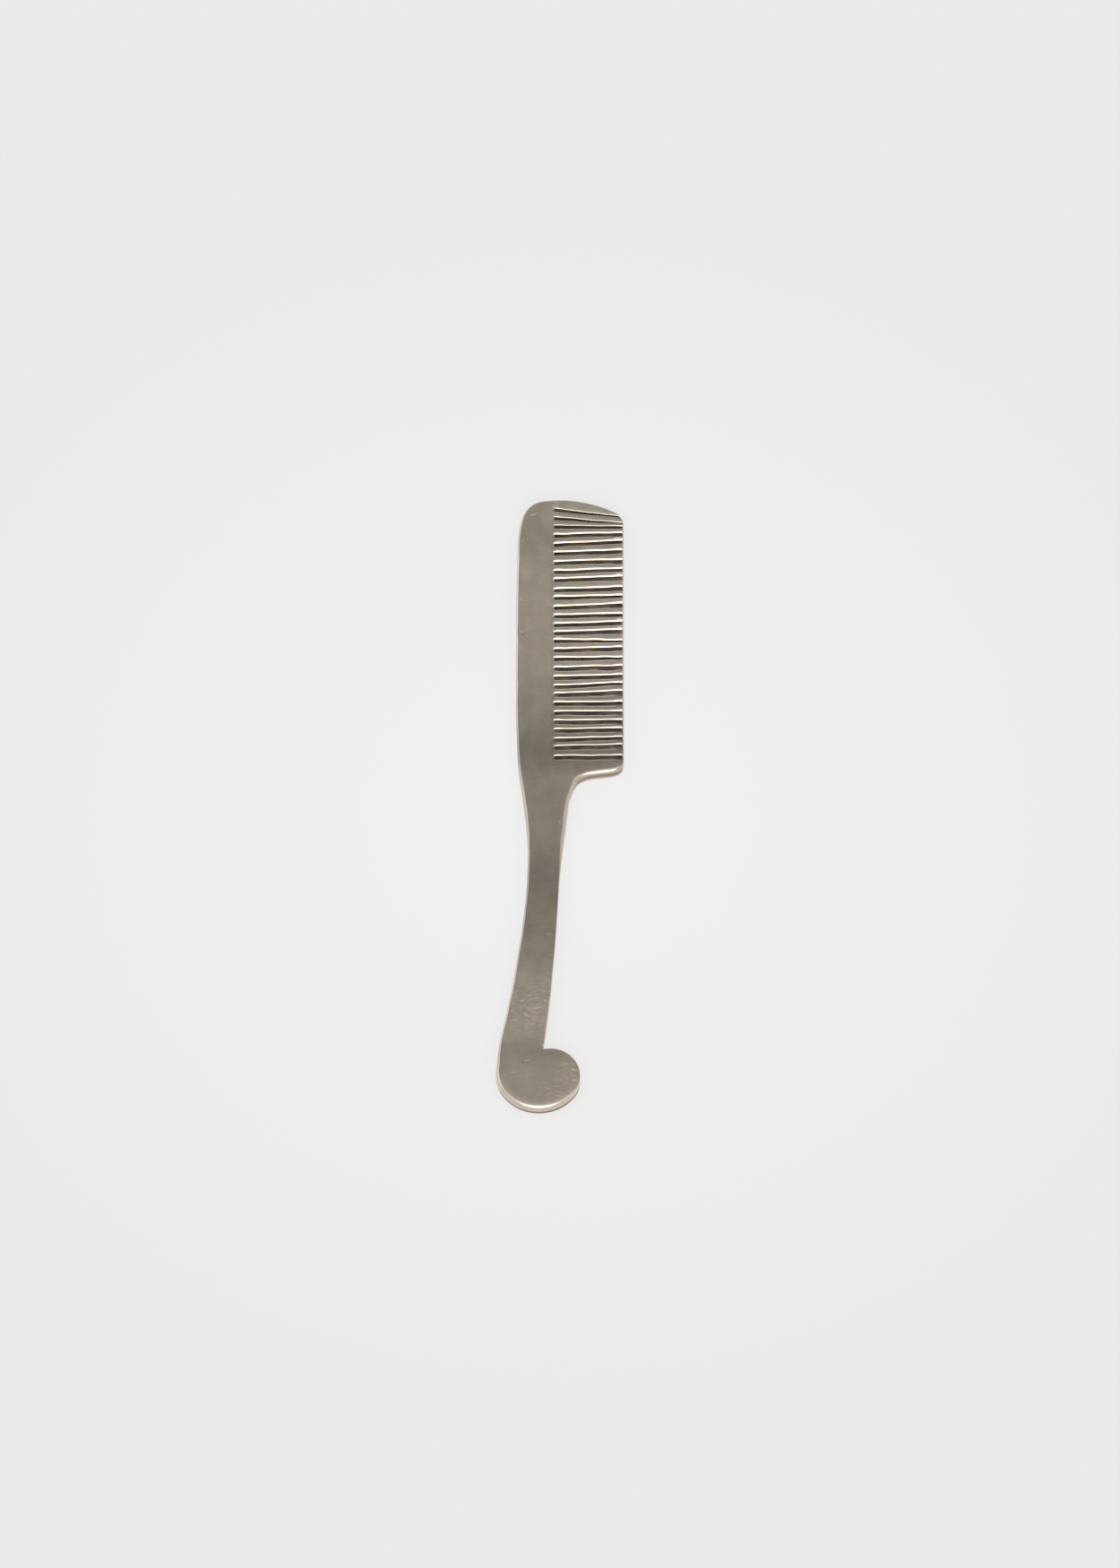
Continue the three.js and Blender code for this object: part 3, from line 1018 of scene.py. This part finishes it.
def with_side_shading(on, base):
    """Painted reflections and shadow on the sides: brown painted dark reflections, a painted contact
    shadow at the foot of the scroll, and a brown painted dark reflection round the heel.
    """
    tree = on.tree
    dark_reflections = stretched_noise(tree, on.place, (190, 190, 520), 3)
    dark_reflections = maths(tree, "MULTIPLY", on.on_side, map_range(tree, dark_reflections, 0.45, 0.7, 0.0, 0.8))
    off_left = map_range(tree, on.facing["X"], -0.9, -0.5, 0.25, 1)  # the left side has fewer painted dark reflections
    base = mix_colour(tree, maths(tree, "MULTIPLY", dark_reflections, off_left), base, SIDE_DARK_REFLECTION)

    # painted contact shadow along the foot of the scroll
    low_down = map_range(tree, on.z, 1.2 * MM, 1.6 * MM, 0.95, 0)
    by_scroll = map_range(tree, on.y, -77 * MM, -70 * MM, 1, 0)
    low_down = maths(tree, "MULTIPLY", low_down, by_scroll)
    base = mix_colour(tree, maths(tree, "MULTIPLY", on.on_side, low_down), base, SCROLL_FOOT_SHADOW)

    # painted dark reflection round the middle of the heel's side
    off_band = maths(tree, "ABSOLUTE", maths(tree, "SUBTRACT", on.z, HEEL_BAND_Z), 0)
    band = map_range(tree, off_band, 0.2 * MM, 1.3 * MM, 0.95, 0)
    from_heel = maths(tree, "ABSOLUTE", maths(tree, "SUBTRACT", on.y, HEEL_BAND_Y), 0)
    band = maths(tree, "MULTIPLY", band, map_range(tree, from_heel, 4.0 * MM, 7.0 * MM, 1, 0))
    band = maths(tree, "MULTIPLY", band, map_range(tree, on.x, -3.0 * MM, 0.0, 0, 1))
    return mix_colour(tree, maths(tree, "MULTIPLY", on.on_side, band), base, HEEL_DARK_REFLECTION)


def polished_steel():
    """Hand-polished metal: soft shifts of tone and fine streaks across, with painted shade, painted
    reflections, painted glints and a painted contact shadow in its colour.
    """
    material = bpy.data.materials.new("polished_steel")
    material.use_nodes = True
    tree = material.node_tree
    shader = tree.nodes["Principled BSDF"]
    shader.inputs["Metallic"].default_value = 1.0
    on = surface_of(tree)
    streaks = stretched_noise(tree, on.place, (170, 2600, 500), 3, 0.03)
    base = scaled(tree, tone_and_tip_sheen(on), face_shade_and_marks(on, streaks))
    base = with_painted_glints(on, with_crown(on, base))
    base = with_side_shading(on, with_cut_shade(on, base))
    tree.links.new(base, shader.inputs["Base Color"])

    clouds = stretched_noise(tree, on.place, (300, 220, 300), 3)
    roughness = map_range(tree, clouds, 0.35, 0.65, 0.19, 0.25)
    roughness = maths(tree, "ADD", roughness, maths(tree, "MULTIPLY", on.within_cut, 0.15))
    tree.links.new(roughness, shader.inputs["Roughness"])

    fine_streaks = stretched_noise(tree, on.place, (260, 5200, 900), 3, 0.05)
    relief = maths(tree, "ADD", streaks, maths(tree, "MULTIPLY", fine_streaks, 0.35))
    bump = add_node(tree, "ShaderNodeBump", Strength=1.0, Distance=BUMP_HEIGHT)
    tree.links.new(relief, bump.inputs["Height"])
    tree.links.new(bump.outputs["Normal"], shader.inputs["Normal"])
    return material


# ---- Materials: the paper ----
PAPER, PAPER_AWAY = (0.121, 0.12, 0.12, 1), (0.1137, 0.1128, 0.1128, 1)
PAPER_FROM, PAPER_TO = 0.02, 0.16  # the paper is painted greyer between these distances from the middle, as painted fall-off of the light
PAPER_GLOW = 6.02  # it is lit from below as well, as on a light table, so that shadows stay faint


def white_paper():
    """The pale, matt sheet that the comb lies on, painted a little greyer away from the middle as painted
    fall-off of the light.
    """
    material = bpy.data.materials.new("white_paper")
    material.use_nodes = True
    tree = material.node_tree
    shader = tree.nodes["Principled BSDF"]
    shader.inputs["Roughness"].default_value = 0.9
    shader.inputs["Specular IOR Level"].default_value = 0.1
    place = add_node(tree, "ShaderNodeTexCoord").outputs["Object"]
    distance = add_node(tree, "ShaderNodeVectorMath", operation="LENGTH")
    tree.links.new(place, distance.inputs[0])
    share = map_range(tree, distance.outputs["Value"], PAPER_FROM, PAPER_TO, 0, 1)
    paper = mix_colour(tree, share, PAPER, PAPER_AWAY)
    tree.links.new(paper, shader.inputs["Base Color"])
    tree.links.new(paper, shader.inputs["Emission Color"])
    shader.inputs["Emission Strength"].default_value = PAPER_GLOW
    return material


# ---- The comb ----
def build_comb():
    steel = polished_steel()
    for name, loop in node_loops.items():
        mesh = build_piece("worked_" + name, loop)
        piece = bpy.data.objects.new("worked_" + name, mesh)
        bpy.context.scene.collection.objects.link(piece)
        mesh.materials.append(steel)
        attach(piece, "root")
        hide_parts(name)


# ---- The studio: floor, light and camera ----
FLOOR_HALF, FLOOR_Z = 2.5, -0.02 * MM


def build_floor():
    mesh = bpy.data.meshes.new("floor")
    signs = (-1, -1), (1, -1), (1, 1), (-1, 1)
    square = [(FLOOR_HALF * x, FLOOR_HALF * y, FLOOR_Z) for x, y in signs]
    mesh.from_pydata(square, [], [(0, 1, 2, 3)])
    mesh.materials.append(white_paper())
    floor = bpy.data.objects.new("floor", mesh)
    bpy.context.scene.collection.objects.link(floor)


def soft_edge(tree, direction, towards, low, high):
    """A smooth step from 0 to 1, as the direction's part along `towards` goes from low to high."""
    dot = add_node(tree, "ShaderNodeVectorMath", operation="DOT_PRODUCT")
    tree.links.new(direction, dot.inputs[0])
    dot.inputs[1].default_value = towards
    edge = add_node(tree, "ShaderNodeMapRange", interpolation_type="SMOOTHSTEP")
    tree.links.new(dot.outputs["Value"], edge.inputs["Value"])
    edge.inputs["From Min"].default_value = low
    edge.inputs["From Max"].default_value = high
    return edge.outputs["Result"]


DIM = 0.22
WARM, COOL = (1.0, 0.995, 0.985, 1), (0.965, 0.995, 1.0, 1)  # of the tent's dim parts and of its lights
# The light tent's lights, each over the ones before it, as (towards, begins, is full, brightness). A light
# begins and is full where the direction's part along `towards` has those values.
TENT = [
    ((0.0, 0.0, -1.0), -0.80, -0.05, 0.80),  # pale all round, low down
    ((0.0, 1.0, 0.0), 0.55, 0.90, 0.95),  # the wall beyond the head
    ((-1.0, 0.0, 0.0), 0.15, 0.50, 1.20),  # the left wall
    ((1.0, 0.0, 0.0), 0.20, 0.60, 0.85),  # the right wall
    ((0.0, -1.0, 0.0), -0.20, 0.15, 0.80),  # the wall behind the camera
    ((0.0, -0.5, 0.866), 0.40, 0.77, 0.95),  # the glow round the soft box
    ((0.0, -0.743, 0.669), 0.80, 0.93, 3.1),  # the soft box, near the camera, so that its shadows hide
]


def build_light():
    """A light tent with one soft box in front, lighting the comb from near the camera."""
    world = bpy.data.worlds.new("light_tent")
    bpy.context.scene.world = world
    world.use_nodes = True
    tree = world.node_tree
    background = tree.nodes["Background"]
    direction = add_node(tree, "ShaderNodeTexCoord").outputs["Generated"]
    level = DIM
    for towards, low, high, light in TENT:
        share = soft_edge(tree, direction, towards, low, high)
        rest = maths(tree, "MULTIPLY", maths(tree, "SUBTRACT", 1.0, share), level)
        level = maths(tree, "ADD", rest, maths(tree, "MULTIPLY", share, light))
    tree.links.new(level, background.inputs["Strength"])
    colour = mix_colour(tree, map_range(tree, level, 0.4, 1.1, 0, 1), WARM, COOL)
    tree.links.new(colour, background.inputs["Color"])


CAMERA_ELEVATION = math.radians(60)
FRAME_HEIGHT = 0.3796  # what the tall side of the picture takes in at the comb
LENS = 1100.0  # a very long lens, so that the view is nearly parallel
SENSOR = 36.0
AIM = Vector((0.0, 0.00532, CAD_HIGH.z))


def build_camera():
    data = bpy.data.cameras.new("camera")
    data.sensor_width = SENSOR
    data.lens = LENS
    data.dof.use_dof = False
    data.clip_end = 30.0
    camera = bpy.data.objects.new("camera", data)
    bpy.context.scene.collection.objects.link(camera)
    back = Vector((0, -math.cos(CAMERA_ELEVATION), math.sin(CAMERA_ELEVATION)))
    camera.location = AIM + back * (FRAME_HEIGHT * LENS / SENSOR)
    camera.rotation_mode = "QUATERNION"
    camera.rotation_quaternion = (-back).to_track_quat("-Z", "Y")
    bpy.context.scene.camera = camera


build_camera()
build_light()
build_floor()
build_comb()
bpy.context.scene.view_settings.view_transform = "Standard"
